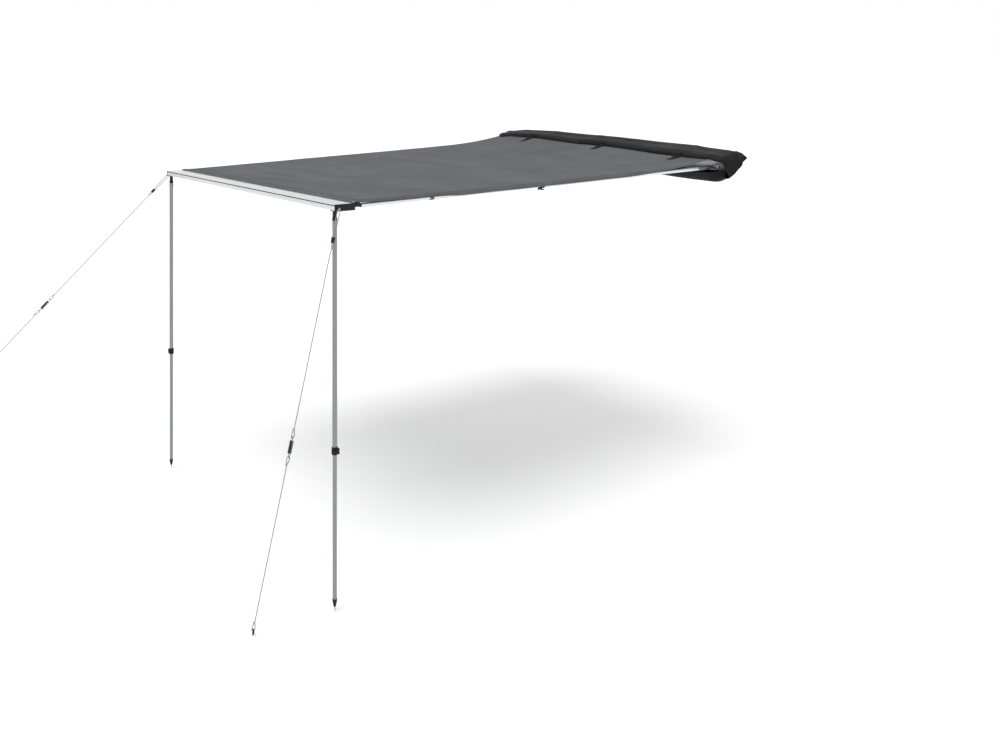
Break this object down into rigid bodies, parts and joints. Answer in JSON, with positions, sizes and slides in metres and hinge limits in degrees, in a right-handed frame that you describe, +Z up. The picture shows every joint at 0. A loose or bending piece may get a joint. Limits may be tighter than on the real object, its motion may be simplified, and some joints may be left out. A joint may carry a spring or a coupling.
{
  "type": "vehicle side awning",
  "caption": "Pull-out vehicle side awning: rail with opened bag, canvas canopy, lead bar, telescopic rafters and folding telescopic legs, guy ropes with springs.",
  "frame": {"origin": "centre of the base rail's back face, midway along the rail and between its two T-slots", "axes": "+Y from the awning to the vehicle, +X along the vehicle, +Z up; the ground is 2.165 m below the origin"},
  "size_m": [3.3428, 4.8335, 2.3261],
  "materials": {
    "rail_aluminium": "satin anodised extrusion",
    "bar_aluminium": "bright satin anodised extrusion",
    "leg_aluminium": "satin anodised drawn tube",
    "rafter_aluminium": "bright satin anodised drawn tube",
    "black_steel": "black powder coat",
    "zinc_steel": "zinc plated",
    "black_plastic": "fine moulded texture",
    "grey_plastic": "fine moulded texture",
    "bag_vinyl": "coated vinyl cloth, slightly glossy",
    "strap_webbing": "woven webbing",
    "canopy_canvas": "coated woven canvas, matt",
    "guy_rope": "braided cord"
  },
  "bodies": {
    "vehicle_rail": {"base_rail": "rail_aluminium", "mounting_bracket_left": "black_steel", "mounting_bracket_right": "black_steel", "bracket_bolt_left": "zinc_steel", "bracket_bolt_right": "zinc_steel", "rafter_fork_left": "rail_aluminium", "rafter_fork_right": "rail_aluminium", "rafter_pin_left": "zinc_steel", "rafter_pin_right": "zinc_steel", "bag_lid": "bag_vinyl", "bag_sling": "bag_vinyl", "bag_strap_left": "strap_webbing", "bag_strap_middle": "strap_webbing", "bag_strap_right": "strap_webbing", "canopy": "canopy_canvas"},
    "front_bar": {"lead_bar": "bar_aluminium", "end_block_left": "black_plastic", "guy_eye_left": "zinc_steel", "leg_pin_left": "zinc_steel", "hook_pin_left": "zinc_steel", "guy_rope_upper_left": "guy_rope", "guy_runner_left": "black_plastic", "guy_spring_left": "black_steel", "guy_rope_lower_left": "guy_rope", "guy_peg_left": "black_steel", "end_block_right": "black_plastic", "guy_eye_right": "zinc_steel", "leg_pin_right": "zinc_steel", "hook_pin_right": "zinc_steel", "guy_rope_upper_right": "guy_rope", "guy_runner_right": "black_plastic", "guy_spring_right": "black_steel", "guy_rope_lower_right": "guy_rope", "guy_peg_right": "black_steel"},
    "leg_upper_left": {"leg_knuckle_left": "black_plastic", "leg_upper_tube_left": "leg_aluminium", "leg_clamp_left": "black_plastic"},
    "leg_lower_left": {"leg_lower_tube_left": "leg_aluminium", "foot_cap_left": "black_plastic", "ground_spike_left": "zinc_steel"},
    "leg_lock_lever_left": {"leg_lever_left": "black_plastic"},
    "rafter_outer_left": {"rafter_sleeve_left": "grey_plastic", "rafter_outer_tube_left": "rafter_aluminium", "rafter_clamp_left": "black_plastic"},
    "rafter_inner_left": {"rafter_inner_tube_left": "rafter_aluminium", "rafter_hook_left": "black_steel"},
    "rafter_lock_lever_left": {"rafter_lever_left": "black_plastic"},
    "leg_upper_right": {"leg_knuckle_right": "black_plastic", "leg_upper_tube_right": "leg_aluminium", "leg_clamp_right": "black_plastic"},
    "leg_lower_right": {"leg_lower_tube_right": "leg_aluminium", "foot_cap_right": "black_plastic", "ground_spike_right": "zinc_steel"},
    "leg_lock_lever_right": {"leg_lever_right": "black_plastic"},
    "rafter_outer_right": {"rafter_sleeve_right": "grey_plastic", "rafter_outer_tube_right": "rafter_aluminium", "rafter_clamp_right": "black_plastic"},
    "rafter_inner_right": {"rafter_inner_tube_right": "rafter_aluminium", "rafter_hook_right": "black_steel"},
    "rafter_lock_lever_right": {"rafter_lever_right": "black_plastic"}
  },
  "joints": [
    {"name": "canopy_slide", "type": "slide", "parent": "vehicle_rail", "child": "front_bar", "axis": [0, 0.9996, 0.0298], "range_m": [0, 0.46], "deforming": ["canopy"]},
    {"name": "rafter_fold_left", "type": "hinge", "parent": "vehicle_rail", "child": "rafter_outer_left", "pos_m": [-1.211, -0.085, 0.024], "axis": [0, -0.0381, 0.9993], "range_deg": [0, 83]},
    {"name": "rafter_extend_left", "type": "slide", "parent": "rafter_outer_left", "child": "rafter_inner_left", "axis": [0, 0.9993, 0.0381], "range_m": [0, 0.46]},
    {"name": "rafter_lock_left", "type": "hinge", "parent": "rafter_outer_left", "child": "rafter_lock_lever_left", "pos_m": [-1.223, -1.61918, -0.05608], "axis": [0, 0.9993, 0.0381], "range_deg": [0, 100]},
    {"name": "leg_fold_left", "type": "hinge", "parent": "front_bar", "child": "leg_upper_left", "pos_m": [-1.211, -3, -0.083], "axis": [0, 1, 0], "range_deg": [-88, 0]},
    {"name": "leg_extend_left", "type": "slide", "parent": "leg_upper_left", "child": "leg_lower_left", "axis": [0, 0, 1], "range_m": [-0.25, 0.7]},
    {"name": "leg_lock_left", "type": "hinge", "parent": "leg_upper_left", "child": "leg_lock_lever_left", "pos_m": [-1.2325, -3.012, -1.335], "axis": [0, 0, 1], "range_deg": [0, 100]},
    {"name": "rafter_fold_right", "type": "hinge", "parent": "vehicle_rail", "child": "rafter_outer_right", "pos_m": [1.211, -0.085, -0.023], "axis": [0, -0.0214, 0.9998], "range_deg": [-86, 0]},
    {"name": "rafter_extend_right", "type": "slide", "parent": "rafter_outer_right", "child": "rafter_inner_right", "axis": [0, 0.9998, 0.0214], "range_m": [0, 0.46]},
    {"name": "rafter_lock_right", "type": "hinge", "parent": "rafter_outer_right", "child": "rafter_lock_lever_right", "pos_m": [1.199, -1.61954, -0.07735], "axis": [0, 0.9998, 0.0214], "range_deg": [0, 100]},
    {"name": "leg_fold_right", "type": "hinge", "parent": "front_bar", "child": "leg_upper_right", "pos_m": [1.211, -3, -0.083], "axis": [0, 1, 0], "range_deg": [0, 88]},
    {"name": "leg_extend_right", "type": "slide", "parent": "leg_upper_right", "child": "leg_lower_right", "axis": [0, 0, 1], "range_m": [-0.25, 0.7]},
    {"name": "leg_lock_right", "type": "hinge", "parent": "leg_upper_right", "child": "leg_lock_lever_right", "pos_m": [1.2325, -2.988, -1.335], "axis": [0, 0, 1], "range_deg": [0, 100]}
  ],
  "couplings": [
    {"joint": "rafter_extend_left", "follows": "canopy_slide", "ratio": 1},
    {"joint": "rafter_extend_right", "follows": "canopy_slide", "ratio": 1}
  ]
}
